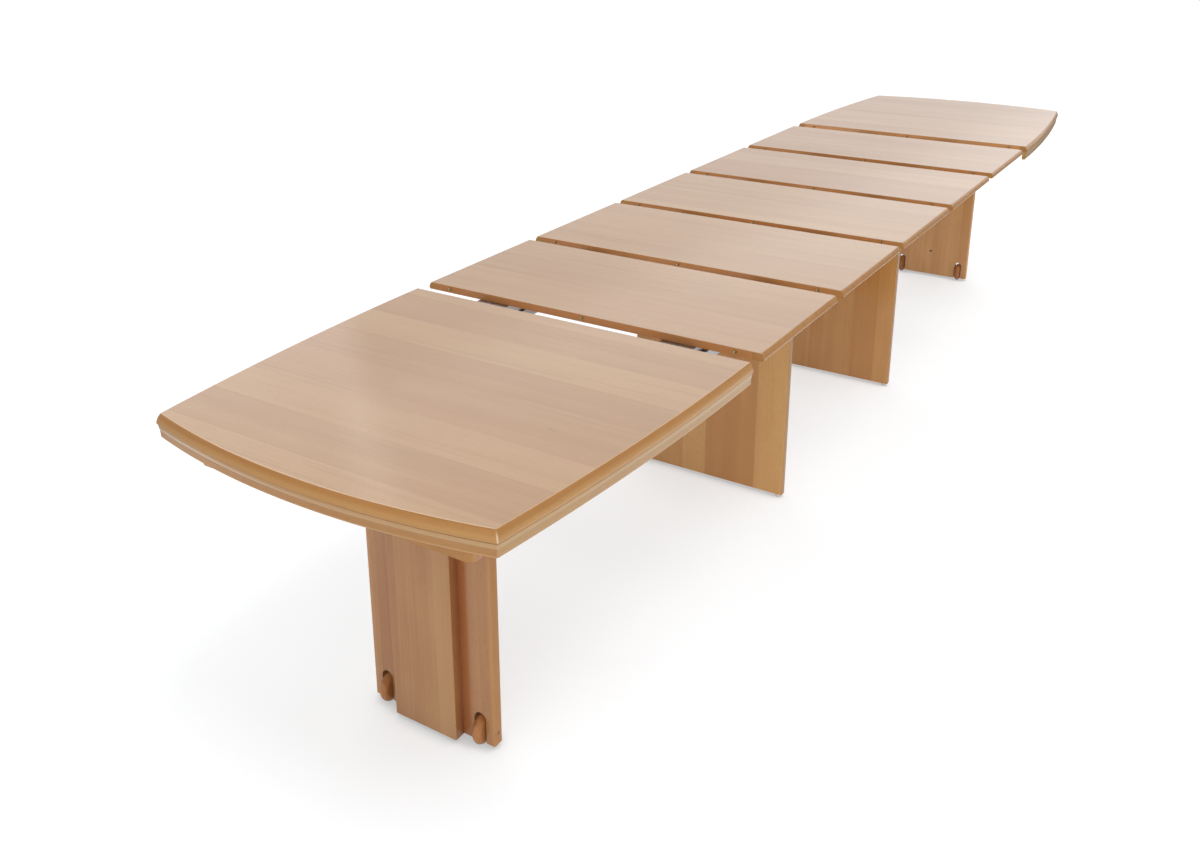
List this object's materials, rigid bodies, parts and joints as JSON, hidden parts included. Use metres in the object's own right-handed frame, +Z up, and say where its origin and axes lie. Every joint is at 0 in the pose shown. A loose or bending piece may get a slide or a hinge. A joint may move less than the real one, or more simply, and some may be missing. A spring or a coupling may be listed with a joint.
{
  "type": "extending dining table",
  "caption": "Long extending beech table with boat-shaped end leaves on rolling panel legs, loose insert leaves and telescoping runners on fixed panel supports.",
  "frame": {"origin": "on the floor under the middle of the table", "axes": "+X along the table to the far end leaf, +Y to the left seen from the near end, +Z up"},
  "size_m": [4.3698, 0.945, 0.76],
  "materials": {
    "top_veneer": "satin lacquered beech veneer, grain across the table",
    "edge_wood": "satin lacquered solid beech moulding",
    "leg_wood": "satin lacquered beech, upright grain",
    "wheel_wood": "turned and lacquered beech",
    "frame_wood": "lacquered beech",
    "runner_metal": "plain extruded aluminium",
    "pin_brass": "turned brass",
    "axle_steel": "zinc plated steel",
    "glide_nylon": "white nylon"
  },
  "bodies": {
    "near_support": {"near_support_panel": "leg_wood", "near_support_bearer": "frame_wood", "near_support_glides": "glide_nylon", "near_support_runners": "runner_metal", "leaf_2_board": "top_veneer", "leaf_2_lippings": "edge_wood", "leaf_2_pins": "pin_brass"},
    "near_end": {"near_board": "top_veneer", "near_end_lipping": "edge_wood", "near_left_lipping": "edge_wood", "near_right_lipping": "edge_wood", "near_joint_lipping": "edge_wood", "near_end_apron": "edge_wood", "near_left_apron": "edge_wood", "near_right_apron": "edge_wood", "near_end_rail": "frame_wood", "near_runners": "runner_metal", "near_leg_bearer": "frame_wood", "near_leg_panel": "leg_wood", "near_leg_block": "leg_wood", "near_axles": "axle_steel"},
    "near_left_wheel": {"near_left_wheel": "wheel_wood"},
    "near_right_wheel": {"near_right_wheel": "wheel_wood"},
    "leaf_1": {"leaf_1_board": "top_veneer", "leaf_1_lippings": "edge_wood", "leaf_1_pins": "pin_brass"},
    "leaf_3": {"leaf_3_board": "top_veneer", "leaf_3_lippings": "edge_wood", "leaf_3_pins": "pin_brass"},
    "far_support": {"far_support_panel": "leg_wood", "far_support_bearer": "frame_wood", "far_support_glides": "glide_nylon", "far_support_runners": "runner_metal", "leaf_4_board": "top_veneer", "leaf_4_lippings": "edge_wood", "leaf_4_pins": "pin_brass"},
    "leaf_5": {"leaf_5_board": "top_veneer", "leaf_5_lippings": "edge_wood", "leaf_5_pins": "pin_brass"},
    "far_end": {"far_board": "top_veneer", "far_end_lipping": "edge_wood", "far_left_lipping": "edge_wood", "far_right_lipping": "edge_wood", "far_joint_lipping": "edge_wood", "far_end_apron": "edge_wood", "far_left_apron": "edge_wood", "far_right_apron": "edge_wood", "far_end_rail": "frame_wood", "far_runners": "runner_metal", "far_leg_bearer": "frame_wood", "far_leg_panel": "leg_wood", "far_leg_block": "leg_wood", "far_axles": "axle_steel", "far_pins": "pin_brass"},
    "far_left_wheel": {"far_left_wheel": "wheel_wood"},
    "far_right_wheel": {"far_right_wheel": "wheel_wood"}
  },
  "joints": [
    {"name": "near_slide", "type": "slide", "parent": "near_support", "child": "near_end", "axis": [1, 0, 0], "range_m": [0, 0.098]},
    {"name": "leaf_1_slide", "type": "slide", "parent": "near_support", "child": "leaf_1", "axis": [1, 0, 0], "range_m": [0, 0.041]},
    {"name": "middle_slide", "type": "slide", "parent": "near_support", "child": "far_support", "axis": [-1, 0, 0], "range_m": [0, 0.084]},
    {"name": "leaf_3_slide", "type": "slide", "parent": "near_support", "child": "leaf_3", "axis": [-1, 0, 0], "range_m": [0, 0.04]},
    {"name": "far_slide", "type": "slide", "parent": "far_support", "child": "far_end", "axis": [-1, 0, 0], "range_m": [0, 0.123]},
    {"name": "leaf_5_slide", "type": "slide", "parent": "far_support", "child": "leaf_5", "axis": [-1, 0, 0], "range_m": [0, 0.053]},
    {"name": "near_left_wheel_spin", "type": "hinge", "parent": "near_end", "child": "near_left_wheel", "pos_m": [-1.8195, 0.129, 0.038], "axis": [0, 1, 0], "continuous": true},
    {"name": "near_right_wheel_spin", "type": "hinge", "parent": "near_end", "child": "near_right_wheel", "pos_m": [-1.8195, -0.129, 0.038], "axis": [0, 1, 0], "continuous": true},
    {"name": "far_left_wheel_spin", "type": "hinge", "parent": "far_end", "child": "far_left_wheel", "pos_m": [1.8195, 0.129, 0.038], "axis": [0, 1, 0], "continuous": true},
    {"name": "far_right_wheel_spin", "type": "hinge", "parent": "far_end", "child": "far_right_wheel", "pos_m": [1.8195, -0.129, 0.038], "axis": [0, 1, 0], "continuous": true}
  ],
  "couplings": [
    {"joint": "leaf_1_slide", "follows": "near_slide", "ratio": 0.41837},
    {"joint": "leaf_3_slide", "follows": "middle_slide", "ratio": 0.47619},
    {"joint": "leaf_5_slide", "follows": "far_slide", "ratio": 0.43089}
  ]
}
